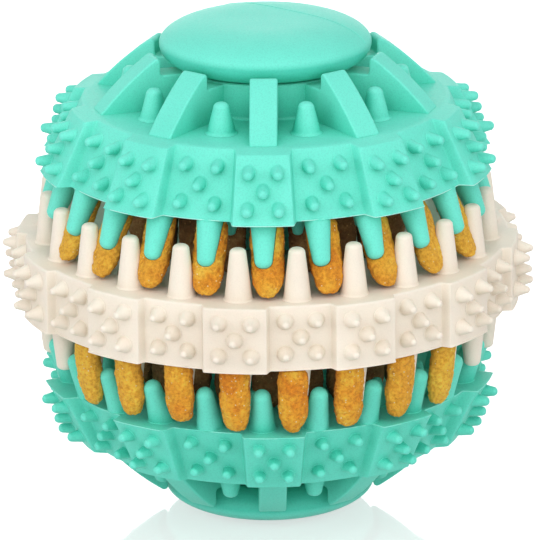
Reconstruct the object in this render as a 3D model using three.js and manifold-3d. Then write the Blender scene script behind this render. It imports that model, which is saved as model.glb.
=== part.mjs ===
// Ball-shaped rubber chew toy that brushes a dog's teeth. Three toothed rings are stacked on the sleeve of
// the lower end cap and are closed by the plug pin of the upper end cap. Treats stand in the two gaps
// between the rings. Millimetres, +Z up, origin on the floor under the middle of the lower cap.
// Angles are in degrees, counted from the front (-Y) towards +X.
import * as THREE from "three";
import { mergeVertices } from "three/addons/utils/BufferGeometryUtils.js";
import Module from "manifold-3d";

const wasm = await Module();
wasm.setup();

// Driving dimensions of the stack
const fitGap = 0.3; // between pieces that touch or slide
const treatGap = 11.5; // free height between the middle ring and each outer ring
const sleeveRadius = 7.5; // sleeve that carries the rings
const sleeveWall = 2.4;
const pinLength = 30;
const pinChamfer = 1.2;

// Teeth, shared by the rings that mesh
const toothCount = 24;
const toothCircle = 33; // radius of the circle through the tooth tips
const toothSides = 6;
const tipRise = 0.7; // height of the cone that ends a tooth or peg

// Middle ring
const middleThickness = 9.6;
const middleBandRadius = 37.8; // outer face of the raised panels
const middlePanelStep = 1.4; // how far the raised panels stand out
const middlePanelPairs = 12; // one raised and one recessed panel in each pair
const middleTooth = { length: 7.8, root: 2.05, tip: 1.25 };
const middleStud = { length: 2.2, root: 1.25 };

// Outer rings: the upper one, and the same moulding turned over as the lower one
const ringHeight = 9.8; // from the toothed face to the floor that carries the fins
const ringRaisedBase = 34.2; // radius of the raised panels at the toothed face
const ringRaisedTop = 29.9; // and at the floor
const ringRecessBase = 32.0;
const ringRecessTop = 27.2;
const ringPanelPairs = 10;
const ringRaisedArc = 16.2; // degrees
const ringHubRadius = 13.2; // hub under the cap
const ringHubRise = 5.4;
const ringCoreRadius = 11.5; // hub between the rings
const ringToothDrop = 6.8;
const ringToothRootCircle = 30; // the teeth splay from here out to the tooth circle
const ringToothRoot = 2.0;
const ringToothTip = 1.3;
const ringStud = { length: 2.4, root: 1.25 };
const upperRingTurn = -1; // degrees about the axis, as the rings lie in the photograph
const lowerRingTurn = 73.2; // two panel pairs further round, which sets its teeth beside its front panel

// Inner row of teeth on the outer rings
const innerToothCount = 16;
const innerTooth = { length: 4.2, root: 1.6, tip: 0.8 };

// Studs of a panel: shares of its half width and of its height
const studSpread = 0.48;
const studRows = [0.24, 0.76];
const studSides = 6;

// Fins round the cap, and the pegs between them
const finThickness = 4.1;
const finRise = 8.3; // inner end above the floor
const finOuterRadius = 26.2;
const finOuterRise = 0.4;
const finCorner = 0.8; // chamfer on the fin's inner corner
const finBulge = 0.45; // how far the fin's back arches out from a straight line
const finArcSteps = 4;
const pegCircle = 20.2;
const peg = { length: 4.7, root: 2.2, tip: 1.25 };
const rootDepth = 1; // how far teeth, pegs, studs and fins are sunk into what carries them

// End caps
const capRadius = 15.9;
const capCrown = 3.5; // from the rim to the flat crown
const capUnder = 2.7; // from the rim down to the seat on the hub
const capFlatRadius = 6;
const capSeatRadius = 12.5;
const capNestGap = 1; // between the rim and the fins round it
const capArcSteps = 4;
const capSegments = 24;

// Treats, with pitches in degrees round the axis
const treatWidth = 5.2;
const treatDepth = 3.4;
const upperTreatCount = 9;
const upperTreatPitch = 15.8;
const upperTreatSetback = 1.2; // behind the circle of the upper ring's teeth
const lowerTreatCount = 8;
const lowerTreatPitch = 14.4;
const lowerTreatTurn = -1.2; // degrees, of the whole row
const lowerTreatOffset = 0.8; // outside the tooth circle
const lowerTreatLean = 8; // degrees, top outwards
const innerTreatCount = 9;
const innerTreatPitch = 15;
const treatSides = 8;
const treatRings = 6;
const treatHeadPower = 0.35; // the nearer to 0, the blunter the end
const treatFootPower = 0.75;

// Worked-out heights above the middle of the ball, and radii
const middleFace = middleThickness / 2;
const ringFace = middleFace + treatGap;
const ringFloor = ringFace + ringHeight;
const hubTop = ringFloor + ringHubRise;
const capSeat = hubTop + fitGap;
const capRim = capSeat + capUnder;
const ballHalfHeight = capRim + capCrown;
const boreRadius = sleeveRadius + fitGap;
const sleeveBore = sleeveRadius - sleeveWall;
const pinRadius = sleeveBore - fitGap;
const sleeveEnd = capSeat - fitGap; // the sleeve stops short of the upper cap's seat
const toothPitch = 360 / toothCount;
const middleToothStart = toothPitch / 2; // the front is midway between two teeth
const rad = THREE.MathUtils.degToRad;

// Materials
const tealRubber = new THREE.MeshStandardMaterial({ color: 0x5fe0c3, roughness: 0.55, metalness: 0 });
const whiteRubber = new THREE.MeshStandardMaterial({ color: 0xf3e8dc, roughness: 0.6, metalness: 0 });
const treatCrumb = new THREE.MeshStandardMaterial({ color: 0xcf8a2c, roughness: 0.9, metalness: 0 });
const innerCrumb = new THREE.MeshStandardMaterial({ color: 0x6b4426, roughness: 0.9, metalness: 0 });

// A closed geometry as a solid that can be joined and cut.
function solidOf(geometry) {
  const bare = geometry.clone();
  bare.deleteAttribute("normal");
  bare.deleteAttribute("uv");
  const merged = mergeVertices(bare, 1e-4);
  return new wasm.Manifold(
    new wasm.Mesh({
      numProp: 3,
      vertProperties: merged.attributes.position.array,
      triVerts: new Uint32Array(merged.index.array),
    }),
  );
}

function geometryOf(solid) {
  const { vertProperties, triVerts } = solid.getMesh();
  const geometry = new THREE.BufferGeometry();
  geometry.setAttribute("position", new THREE.BufferAttribute(vertProperties, 3));
  geometry.setIndex(new THREE.BufferAttribute(triVerts, 1));
  return geometry;
}

function joined(geometries) {
  return geometryOf(geometries.map(solidOf).reduce((whole, piece) => whole.add(piece)));
}

// A turned shape about +Z from [radius, height] points.
function turned(points, segments) {
  const profile = points.map(([radius, height]) => new THREE.Vector2(radius, height));
  return new THREE.LatheGeometry(profile, segments).rotateX(Math.PI / 2);
}

// A turned ring whose [radius, height] outline closes on itself.
function turnedRing(outline, segments) {
  return turned([...outline, outline[0]], segments);
}

// A block with flat sides that fills such a ring of four corners between two angles.
function ringBlock(outline, fromAngle, toAngle) {
  const position = [];
  for (const angle of [rad(fromAngle), rad(toAngle)])
    for (const [radius, height] of outline)
      position.push(radius * Math.sin(angle), -radius * Math.cos(angle), height);
  const index = [0, 1, 2, 0, 2, 3, 4, 6, 5, 4, 7, 6];
  for (let side = 0; side < 4; side += 1) {
    const next = (side + 1) % 4;
    index.push(side, next + 4, next, side, side + 4, next + 4);
  }
  const geometry = new THREE.BufferGeometry();
  geometry.setAttribute("position", new THREE.Float32BufferAttribute(position, 3));
  geometry.setIndex(index);
  return geometry;
}

// A small pointed rubber stud along +Z. Its taper goes on below z = 0, into what carries it.
function stud({ length, root }) {
  const sunkRoot = root + (root * rootDepth) / length;
  return turned(
    [
      [0, -rootDepth],
      [sunkRoot, -rootDepth],
      [0, length],
    ],
    studSides,
  );
}

// A tooth or peg tapers from its root to its tip, whose end is a low cone.
function spike({ length, root, tip }) {
  const sunkRoot = root + ((root - tip) * rootDepth) / length;
  return turned(
    [
      [0, -rootDepth],
      [sunkRoot, -rootDepth],
      [tip, length - tipRise],
      [0, length],
    ],
    toothSides,
  );
}

// Leans a +Z shape outwards (0 up, 90 radial, 180 down) and carries it to a place round the axis.
function placed(geometry, lean, radius, height, angle) {
  return geometry.rotateX(rad(lean)).translate(0, -radius, height).rotateZ(rad(angle));
}

// Five studs on a panel, one near each corner and one in the middle. The face runs from
// [radius, height] at its foot to the same at its head.
function panelStuds(size, foot, head, centreAngle, halfArc) {
  const spots = [[0, 0.5]];
  for (const side of [-studSpread, studSpread]) for (const share of studRows) spots.push([side, share]);
  return spots.map(([side, share]) => {
    const radius = foot[0] + (head[0] - foot[0]) * share;
    const height = foot[1] + (head[1] - foot[1]) * share;
    return placed(stud(size), 90, radius, height, centreAngle + side * halfArc);
  });
}

function bandStuds(radius, centreAngle, halfArc) {
  return panelStuds(middleStud, [radius, -middleFace], [radius, middleFace], centreAngle, halfArc);
}

// White ring with a studded band and teeth on both faces
function middleRing() {
  const recessRadius = middleBandRadius - middlePanelStep;
  const halfArc = 90 / middlePanelPairs;
  const pieces = [
    turnedRing(
      [
        [boreRadius, -middleFace],
        [recessRadius, -middleFace],
        [recessRadius, middleFace],
        [boreRadius, middleFace],
      ],
      middlePanelPairs * 2,
    ),
  ];
  for (let pair = 0; pair < middlePanelPairs; pair += 1) {
    const raised = (360 / middlePanelPairs) * pair - halfArc;
    const recessed = raised + 2 * halfArc;
    pieces.push(
      ringBlock(
        [
          [recessRadius - rootDepth, -middleFace],
          [middleBandRadius, -middleFace],
          [middleBandRadius, middleFace],
          [recessRadius - rootDepth, middleFace],
        ],
        raised - halfArc,
        raised + halfArc,
      ),
      ...bandStuds(middleBandRadius, raised, halfArc),
      ...bandStuds(recessRadius, recessed, halfArc),
    );
  }
  for (let tooth = 0; tooth < toothCount; tooth += 1) {
    const angle = middleToothStart + tooth * toothPitch;
    pieces.push(placedMiddleTooth(angle, 1), placedMiddleTooth(angle, -1));
  }
  return joined(pieces);
}

// A tooth on the upper (1) or lower (-1) face of the middle ring. With a clearance it is the dent that
// the tooth presses into a treat.
function placedMiddleTooth(angle, side, clearance = 0) {
  const tooth = spike({
    length: middleTooth.length + clearance,
    root: middleTooth.root + clearance,
    tip: middleTooth.tip + clearance,
  });
  return placed(tooth, side > 0 ? 0 : 180, toothCircle, side * middleFace, angle);
}

// Outer ring, built as the upper one about the middle of the ball
function outerRing() {
  const pairArc = 360 / ringPanelPairs;
  const raisedHalf = ringRaisedArc / 2;
  const recessHalf = (pairArc - ringRaisedArc) / 2;
  const raisedFoot = [ringRaisedBase, ringFace];
  const raisedHead = [ringRaisedTop, ringFloor];
  const recessFoot = [ringRecessBase, ringFace];
  const recessHead = [ringRecessTop, ringFloor];
  const hubFoot = middleFace + fitGap;
  const pieces = [
    turnedRing(
      [
        [boreRadius, hubFoot],
        [ringCoreRadius, hubFoot],
        [ringCoreRadius, ringFace],
        recessFoot,
        recessHead,
        [ringHubRadius, ringFloor],
        [ringHubRadius, hubTop],
        [boreRadius, hubTop],
      ],
      ringPanelPairs * 2,
    ).rotateZ(rad(pairArc / 4)),
  ];
  for (let pair = 0; pair < ringPanelPairs; pair += 1) {
    const raised = pairArc * pair;
    const recessed = raised + pairArc / 2;
    pieces.push(
      ringBlock(
        [[ringHubRadius, ringFace], raisedFoot, raisedHead, [ringHubRadius, ringFloor]],
        raised - raisedHalf,
        raised + raisedHalf,
      ),
      ...panelStuds(ringStud, raisedFoot, raisedHead, raised, raisedHalf),
      ...panelStuds(ringStud, recessFoot, recessHead, recessed, recessHalf),
      placedFin(raised),
      placed(spike(peg), 0, pegCircle, ringFloor, recessed),
    );
  }
  for (let tooth = 0; tooth < toothCount; tooth += 1) pieces.push(placedRingTooth(tooth * toothPitch));
  for (let tooth = 0; tooth < innerToothCount; tooth += 1) {
    const angle = ((tooth + 0.5) * 360) / innerToothCount;
    pieces.push(placed(spike(innerTooth), 180, innerToothCircle, ringFace, angle));
  }
  return joined(pieces);
}

// An outer ring's tooth hangs from its root circle and splays out to the tooth circle. With a clearance
// it is a dent too.
function placedRingTooth(angle, clearance = 0) {
  const length = ringToothDrop / Math.cos(rad(ringToothLean)) + clearance;
  const tooth = spike({ length, root: ringToothRoot + clearance, tip: ringToothTip + clearance });
  return placed(tooth, 180 - ringToothLean, ringToothRootCircle, ringFace, angle);
}

// The same tooth on the lower ring, which is turned over about the X axis
function placedLowerRingTooth(angle, clearance) {
  return placedRingTooth(180 - angle, clearance).rotateX(Math.PI);
}

// Points along the arched back of a fin, from its low outer end to its high inner end
function finBack(lowEnd, highEnd) {
  const along = highEnd.clone().sub(lowEnd);
  const outwards = new THREE.Vector2(along.y, -along.x).normalize();
  const points = [];
  for (let step = 0; step <= finArcSteps; step += 1) {
    const share = step / finArcSteps;
    const bulge = 4 * finBulge * share * (1 - share);
    points.push(lowEnd.clone().addScaledVector(along, share).addScaledVector(outwards, bulge));
  }
  return points;
}

// A fin stands on the floor, high at the cap's rim and falling to the edge of the floor.
function placedFin(angle) {
  const inner = capRadius + capNestGap;
  const top = ringFloor + finRise;
  const lowEnd = new THREE.Vector2(finOuterRadius, ringFloor + finOuterRise);
  const highEnd = new THREE.Vector2(inner + finCorner, top);
  const outline = new THREE.Shape([
    new THREE.Vector2(ringHubRadius - rootDepth, ringFloor - rootDepth),
    new THREE.Vector2(finOuterRadius, ringFloor - rootDepth),
    ...finBack(lowEnd, highEnd),
    new THREE.Vector2(inner, top - finCorner),
    new THREE.Vector2(inner, hubTop),
    new THREE.Vector2(ringHubRadius - rootDepth, hubTop),
  ]);
  const fin = new THREE.ExtrudeGeometry(outline, { depth: finThickness, bevelEnabled: false });
  return fin
    .translate(0, 0, -finThickness / 2)
    .rotateX(Math.PI / 2)
    .rotateZ(rad(angle - 90));
}

// Points of a quarter ellipse between the cap's rim and a smaller radius at some height from it
function quarterArc(toRadius, height) {
  const points = [];
  for (let step = 0; step <= capArcSteps; step += 1) {
    const turn = (Math.PI / 2) * (step / capArcSteps);
    points.push([toRadius + (capRadius - toRadius) * Math.cos(turn), height * Math.sin(turn)]);
  }
  return points;
}

// The cap's outline from its seat, round the rim, to the middle of its crown
function capOutline() {
  const under = quarterArc(capSeatRadius, -capUnder).reverse();
  const crown = quarterArc(capFlatRadius, capCrown).slice(1);
  return [...under, ...crown, [0, capCrown]].map(([radius, height]) => [radius, capRim + height]);
}

function upperCap() {
  const pinEnd = capSeat - pinLength;
  return turned(
    [
      [0, pinEnd],
      [pinRadius - pinChamfer, pinEnd],
      [pinRadius, pinEnd + pinChamfer],
      [pinRadius, capSeat],
      ...capOutline(),
    ],
    capSegments,
  );
}

// Built dome up, as the upper cap is, and turned over with the lower half
function lowerCap() {
  return turned(
    [
      [0, capSeat],
      [sleeveBore, capSeat],
      [sleeveBore, -sleeveEnd],
      [sleeveRadius, -sleeveEnd],
      [sleeveRadius, capSeat],
      ...capOutline(),
    ],
    capSegments,
  );
}

// Treats are flattened sticks with rounded ends. The upper ones lean as the upper ring's teeth do.
const ringToothLean = THREE.MathUtils.radToDeg(Math.atan2(toothCircle - ringToothRootCircle, ringToothDrop));
const gapMiddle = middleFace + treatGap / 2;
const toothAtMiddle = ringToothRootCircle + (treatGap / 2) * Math.tan(rad(ringToothLean));
const upperTreatCircle = toothAtMiddle - upperTreatSetback / Math.cos(rad(ringToothLean));
const upperTreatLength = treatLength(ringToothLean);
const upperTreatSpread = (upperTreatLength / 2) * Math.sin(rad(ringToothLean));
const upperTreatBack = upperTreatCircle - upperTreatSpread - treatDepth / 2;
const innerToothCircle = upperTreatBack - fitGap - innerTooth.root;
const innerTreatCircle = innerToothCircle - innerTooth.root - fitGap - treatDepth / 2;

// Half outline of a treat of half width 1 and half length 1, from its foot to its head
function treatOutline() {
  const points = [];
  for (let ring = 0; ring <= treatRings; ring += 1) {
    const turn = Math.PI * (ring / treatRings);
    const onAxis = ring === 0 || ring === treatRings;
    const [side, power] = ring * 2 < treatRings ? [-1, treatFootPower] : [1, treatHeadPower];
    const height = side * Math.pow(Math.abs(Math.cos(turn)), power);
    points.push([onAxis ? 0 : Math.pow(Math.sin(turn), power), height]);
  }
  return points;
}

// Length of a treat that leans by so many degrees and stands clear of both rings by the fit gap
function treatLength(leanAngle) {
  const room = treatGap / 2 - fitGap;
  const lengths = treatOutline()
    .filter(([, height]) => height > 0)
    .map(([radius, height]) => {
      const slant = (treatDepth / 2) * radius * Math.sin(rad(leanAngle));
      return (2 * (room - slant)) / (height * Math.cos(rad(leanAngle)));
    });
  return Math.min(...lengths);
}

function treat(length) {
  return turned(treatOutline(), treatSides).scale(treatWidth / 2, treatDepth / 2, length / 2);
}

// Angles of the tooth nearest to a place, in a row that has a tooth at some angle, and of its neighbours
function nearbyTeeth(angle, someTooth) {
  const nearest = someTooth + Math.round((angle - someTooth) / toothPitch) * toothPitch;
  return [nearest - toothPitch, nearest, nearest + toothPitch];
}

// A stick cut back from the teeth that press into it
function dented(stick, teeth) {
  return geometryOf(teeth.map(solidOf).reduce((rest, tooth) => rest.subtract(tooth), solidOf(stick)));
}

// An upper treat stands behind the upper ring's teeth and between those of the middle ring.
function upperTreat(angle) {
  const stick = placed(treat(upperTreatLength), -ringToothLean, upperTreatCircle, gapMiddle, angle);
  return dented(stick, [
    ...nearbyTeeth(angle, upperRingTurn).map((tooth) => placedRingTooth(tooth, fitGap)),
    ...nearbyTeeth(angle, middleToothStart).map((tooth) => placedMiddleTooth(tooth, 1, fitGap)),
  ]);
}

// A lower treat stands in front of the middle ring's teeth and between those of the lower ring.
function lowerTreat(rowAngle) {
  const angle = rowAngle + lowerTreatTurn;
  const stick = treat(treatLength(lowerTreatLean));
  const leaning = placed(stick, lowerTreatLean, toothCircle + lowerTreatOffset, -gapMiddle, angle);
  return dented(leaning, [
    ...nearbyTeeth(angle, lowerRingTurn).map((tooth) => placedLowerRingTooth(tooth, fitGap)),
    ...nearbyTeeth(angle, middleToothStart).map((tooth) => placedMiddleTooth(tooth, -1, fitGap)),
  ]);
}

function innerTreat(height, angle) {
  return placed(treat(treatLength(0)), 0, innerTreatCircle, height, angle);
}

// The scene graph
function named(name, geometry, material) {
  const mesh = new THREE.Mesh(geometry, material);
  mesh.name = name;
  return mesh;
}

const ball = new THREE.Group();
ball.position.z = ballHalfHeight;
const upperHalf = new THREE.Group();
const lowerHalf = new THREE.Group();
lowerHalf.rotation.x = Math.PI;
ball.add(upperHalf, lowerHalf);

const ringGeometry = outerRing();
const upperRing = named("upper_tooth_ring", ringGeometry, tealRubber);
upperRing.rotation.z = rad(upperRingTurn);
const lowerRing = named("lower_tooth_ring", ringGeometry, tealRubber);
lowerRing.rotation.z = -rad(lowerRingTurn);
upperHalf.add(upperRing, named("upper_end_cap", upperCap(), tealRubber));
lowerHalf.add(lowerRing, named("lower_end_cap", lowerCap(), tealRubber));
ball.add(named("middle_tooth_ring", middleRing(), whiteRubber));

// A row of pieces spread evenly about the front
function row(name, count, pitch, make, material) {
  for (let place = 0; place < count; place += 1) {
    const angle = (place - (count - 1) / 2) * pitch;
    ball.add(named(`${name}_${place + 1}`, make(angle), material));
  }
}

row("upper_treat", upperTreatCount, upperTreatPitch, upperTreat, treatCrumb);
row("lower_treat", lowerTreatCount, lowerTreatPitch, lowerTreat, treatCrumb);
for (const [side, height] of [
  ["upper", gapMiddle],
  ["lower", -gapMiddle],
]) {
  const make = (angle) => innerTreat(height, angle);
  row(`${side}_inner_treat`, innerTreatCount, innerTreatPitch, make, innerCrumb);
}

const toy = new THREE.Group();
toy.add(ball);
export default toy;
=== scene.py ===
"""Looks of the dog toothbrush chew toy: moulded rubber rings and caps, baked treats, floor, light and camera."""
import math

import bmesh
import bpy
from mathutils import Matrix, Vector, noise


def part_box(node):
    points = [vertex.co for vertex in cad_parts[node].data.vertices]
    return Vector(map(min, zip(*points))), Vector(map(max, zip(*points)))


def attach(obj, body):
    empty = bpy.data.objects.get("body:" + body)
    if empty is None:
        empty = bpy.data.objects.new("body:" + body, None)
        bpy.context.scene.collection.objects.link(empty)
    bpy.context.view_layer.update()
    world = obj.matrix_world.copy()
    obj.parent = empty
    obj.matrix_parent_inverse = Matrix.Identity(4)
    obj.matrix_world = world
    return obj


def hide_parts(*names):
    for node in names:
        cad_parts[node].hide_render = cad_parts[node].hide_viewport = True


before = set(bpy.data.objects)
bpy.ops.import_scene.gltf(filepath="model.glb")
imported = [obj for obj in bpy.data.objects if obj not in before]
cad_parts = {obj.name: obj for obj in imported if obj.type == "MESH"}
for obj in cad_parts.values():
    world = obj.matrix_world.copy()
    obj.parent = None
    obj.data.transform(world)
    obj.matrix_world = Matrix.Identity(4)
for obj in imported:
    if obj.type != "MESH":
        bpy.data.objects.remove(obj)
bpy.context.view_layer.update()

# Shapes are made in millimetres about the middle of the ball, then scaled and lifted into the frame.
MM = 0.001
SLIVER = 2e-6  # metres; shorter edges are left over from joining
SHARP_ANGLE = math.radians(40)  # edges that turn more than this stay crisp
ring_low, ring_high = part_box("middle_tooth_ring")
MIDDLE = (ring_low.z + ring_high.z) / 2
INTO_FRAME = Matrix.Translation((0, 0, MIDDLE)) @ Matrix.Scale(MM, 4)

# Stack, as in the part
FIT_GAP = 0.3
MIDDLE_FACE = 4.8
RING_FACE = 16.3
RING_FLOOR = 26.1
HUB_TOP = 31.5
CAP_SEAT = 31.8
CAP_RIM = 34.5
CAP_CROWN = 38.0
BORE = 7.8
SLEEVE = 7.5
SLEEVE_BORE = 5.1
PIN = 4.8
PIN_LENGTH = 30.0

# Teeth and studs: profiles in millimetres, and the steps that their meshes take
FLARE_START = math.radians(-105)
FLARE_TURN = math.radians(75)
FLARE_STEPS = 4
SIDE_STEPS = 3
TIP_STEPS = 6
TIP_RISE = 0.02  # a tip's middle stands this far proud of its rim
SHARP_TIP = 0.05  # a tip with less flat than this comes to a point
SINK = 1.0  # how far a root goes into what carries it
STUD_SEGMENTS = 16
TOOTH_SEGMENTS = 24
TOOTH_COUNT = 24
TOOTH_CIRCLE = 33.0
TOOTH_PITCH = 360 / TOOTH_COUNT
MIDDLE_TOOTH = {"length": 7.8, "root": 2.05, "tip": 1.25, "tip_round": 0.75, "flare": 0.35}
RING_TOOTH_SINK = 1.6
RING_TOOTH_DROP = 6.8
RING_TOOTH_CIRCLE = 30.0
RING_TOOTH_LEAN = math.degrees(math.atan2(TOOTH_CIRCLE - RING_TOOTH_CIRCLE, RING_TOOTH_DROP))
RING_TOOTH_SLOPE = math.tan(math.radians(RING_TOOTH_LEAN))
RING_TOOTH = {
    "length": RING_TOOTH_DROP / math.cos(math.radians(RING_TOOTH_LEAN)),
    "root": 2.0,
    "tip": 1.35,
    "tip_round": 1.2,
    "flare": 0.2,
}
INNER_TOOTH_COUNT = 16
INNER_TOOTH_CIRCLE = 25.3
INNER_TOOTH = {"length": 4.2, "root": 1.6, "tip": 0.8, "tip_round": 0.6, "flare": 0.3}
PEG = {"length": 4.7, "root": 2.05, "tip": 1.25, "tip_round": 1.0, "flare": 0.6}
PEG_CIRCLE = 20.2
RING_STUD = {"length": 2.3, "root": 0.98, "tip": 0.72, "tip_round": 0.66, "flare": 0.2}
MIDDLE_STUD = {"length": 2.3, "root": 1.22, "tip": 0.58, "tip_round": 0.54, "flare": 0.2}
STUD_SPREAD = 0.48
STUD_ROWS = (0.24, 0.76)

# Panels: feet (at the toothed face) and heads are radii, walls and halves are in degrees,
# and columns and rows are the mesh's steps
RAISED_COLUMNS = 10
RECESS_COLUMNS = 12
WALL_COLUMNS = 8
MIDDLE_BAND = 37.8
MIDDLE_STEP = 1.4
MIDDLE_PAIRS = 12
RING_PAIRS = 10
RAISED_FOOT = 34.2
RAISED_HEAD = 29.5
RECESS_FOOT = 32.0
RECESS_HEAD = 27.2
RECESS_SHOULDER = 0.4
RAISED_DROP = 0.35
RECESS_DROP = 0.1
RAISED_HALF = 8.1
RING_WALL = 1.5
MIDDLE_WALL = 1.1
FACE_ROWS = 6
BAND_ROWS = 5
HUB = 13.2
CORE = 11.5
UPPER_TURN = -1.0
LOWER_TURN = 73.2
LIP = 0.14  # moulding flash along the open edge of a ring
BAND_LIP = 0.35  # the white band's outer edge hangs this far below its face

# Fins and caps
FIN_WIDTH = 4.1
FIN_TOP = 34.4
FIN_INNER = 16.9
FIN_OUTER = 26.2
FIN_BULGE = 0.45
FIN_SINK = 1
FIN_FOOT_RISE = 0.1
FIN_SHOULDER = HUB_TOP - 0.2
FIN_BACK_STEPS = 14
FIN_EDGE = 0.3
CAP_RADIUS = 15.9
CAP_FLAT = 6.0
CAP_SEAT_RADIUS = 12.5
CAP_SEGMENTS = 96
RIM_STEPS = 12
CROWN_STEPS = 24
SEAM_OFFSET = 5.7
SEAM_ANGLE = 51.0
SEAM_RADIUS = 0.11
SEAM_SINK = 0.3
SEAM_REACH = 0.98
SEAM_STEPS = 120
SEAM_SIDES = 6

# Treats
UPPER_TREATS = 9
LOWER_TREATS = 8
INNER_TREATS = 9
FIRST_SEED = {"upper": 1, "lower": 21, "upper_inner": 41, "lower_inner": 61}
SEED_STEPS = (17.3, 5.1, 9.7)
TREAT_WIDTH = 5.2
LOWER_TREAT_WIDTH = 4.7
TREAT_DEPTH = 3.4
TREAT_HEAD = 0.35  # powers of the ends' outline: the smaller, the blunter
TREAT_FOOT = 0.75
TREAT_OUTLINE_STEPS = 400
TREAT_USUAL_LENGTH = 11
UPPER_TREAT_LENGTH = 11.7
LOWER_TREAT_LENGTH = 10.95
LOWER_TREAT_SHORT = (0.6, 0.9, 1.1, 0.3, 0.2, 0.4, 0.4, 0.4)  # how far each foot stops short
INNER_TREAT_LENGTH = 10.8
FRONT_TREAT_MESH = (72, 80)  # points round a treat, rows along it
INNER_TREAT_MESH = (40, 40)
TREAT_SKIN = ((0.5, 0.2), (1.3, 0.12), (2.6, 0.1))  # lumps and crumbs: how many to a millimetre, height
TREAT_SHRINK = 0.12
GAP_MIDDLE = (MIDDLE_FACE + RING_FACE) / 2
UPPER_TREAT_CIRCLE = 31.2
LOWER_TREAT_CIRCLE = 33.8
INNER_TREAT_CIRCLE = 21.7
UPPER_TREAT_PITCH = 15.8
LOWER_TREAT_PITCH = 14.4
INNER_TREAT_PITCH = 15
LOWER_TREAT_TURN = -1.2
LOWER_TREAT_LEAN = 8.0
DENT_GAP = 0.08


class Shape:
    """Vertices and faces gathered from several closed pieces."""

    def __init__(self):
        self.verts = []
        self.faces = []

    def add(self, piece, matrix=Matrix.Identity(4)):
        verts, faces = piece
        start = len(self.verts)
        self.verts.extend(matrix @ Vector(v) for v in verts)
        self.faces.extend(tuple(start + i for i in face) for face in faces)

    def to_object(self, name):
        mesh = bpy.data.meshes.new(name)
        mesh.from_pydata(self.verts, [], self.faces)
        obj = bpy.data.objects.new(name, mesh)
        bpy.context.scene.collection.objects.link(obj)
        return obj


def arc_corner(before, corner, after, radius, steps):
    """Points that round one corner of a polyline with an arc."""
    corner = Vector(corner)
    to_before = (Vector(before) - corner).normalized()
    to_after = (Vector(after) - corner).normalized()
    half = to_before.angle(to_after) / 2
    reach = radius / math.tan(half)
    centre = corner + (to_before + to_after).normalized() * (radius / math.sin(half))
    start = corner + to_before * reach - centre
    end = corner + to_after * reach - centre
    turn = start.angle_signed(end)
    points = []
    for step in range(steps + 1):
        spin = Matrix.Rotation(-turn * step / steps, 2)
        points.append(tuple(centre + spin @ start))
    return points


def rounded(outline, steps=4, closed=True):
    """A polyline of (radius, height, corner radius) with its corners rounded."""
    count = len(outline)
    points = []
    for i, (x, y, radius) in enumerate(outline):
        inside = closed or 0 < i < count - 1
        if radius > 0 and inside:
            before = outline[i - 1][:2]
            after = outline[(i + 1) % count][:2]
            points.extend(arc_corner(before, (x, y), after, radius, steps))
        else:
            points.append((x, y))
    return points


def turned(profile, segments):
    """A closed turned piece about Z, from (radius, height) points that start and end on the axis."""
    verts = [(0, 0, profile[0][1])]
    inner = profile[1:-1]
    for radius, height in inner:
        for side in range(segments):
            angle = 2 * math.pi * side / segments
            verts.append((radius * math.cos(angle), radius * math.sin(angle), height))
    verts.append((0, 0, profile[-1][1]))
    last = len(verts) - 1
    faces = []
    for side in range(segments):
        after = (side + 1) % segments
        faces.append((0, 1 + after, 1 + side))
        top = 1 + (len(inner) - 1) * segments
        faces.append((last, top + side, top + after))
        for row in range(len(inner) - 1):
            a = 1 + row * segments
            faces.append((a + side, a + after, a + segments + after, a + segments + side))
    return verts, faces


def ring_of(columns):
    """A closed ring from (angle in degrees, closed outline) columns. Angles run from the front to +X."""
    verts = []
    for angle, outline in columns:
        turn = math.radians(angle)
        verts.extend((r * math.sin(turn), -r * math.cos(turn), z) for r, z in outline)
    count = len(columns[0][1])
    faces = []
    for column in range(len(columns)):
        a = column * count
        b = ((column + 1) % len(columns)) * count
        for i in range(count):
            j = (i + 1) % count
            faces.append((a + i, b + i, b + j, a + j))
    return verts, faces


def spike(size, slope=0.0, segments=STUD_SEGMENTS, sink=SINK):
    """A moulded tooth, peg or stud along +Z with a filleted root and a rounded tip.
    slope is the rise of the carrying face along the piece's own Y."""
    length, root, tip = size["length"], size["root"], size["tip"]
    flare, tip_round = size["flare"], size["tip_round"]
    profile = [(0, -sink), (root / 2, -sink)]
    for step in range(FLARE_STEPS + 1):
        turn = FLARE_START - FLARE_TURN * step / FLARE_STEPS
        profile.append((root + flare + flare * math.cos(turn), flare + flare * math.sin(turn)))
    for step in range(1, SIDE_STEPS + 1):
        share = step / SIDE_STEPS
        height = flare + (length - tip_round - flare) * share
        profile.append((root + (tip - root) * share, height))
    tip_flat, tip_start = tip - tip_round, length - tip_round
    for step in range(1, TIP_STEPS):
        turn = math.pi / 2 * step / TIP_STEPS
        profile.append((tip_flat + tip_round * math.cos(turn), tip_start + tip_round * math.sin(turn)))
    if tip_flat > SHARP_TIP:
        profile.append((tip_flat, length))
    profile.append((0, length + TIP_RISE))
    verts, faces = turned(profile, segments)
    lean = []
    for x, y, z in verts:
        fade = min(1.0, max(0.0, 1 - z / length))
        lean.append((x, y, z + slope * y * fade))
    return lean, faces


def about_axis(angle):
    return Matrix.Rotation(math.radians(angle), 4, "Z")


def place(lean, radius, height, angle):
    """Leans a +Z piece outwards (0 up, 90 radial, 180 down) and carries it round the axis."""
    return (
        about_axis(angle)
        @ Matrix.Translation((0, -radius, height))
        @ Matrix.Rotation(math.radians(lean), 4, "X")
    )


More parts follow.
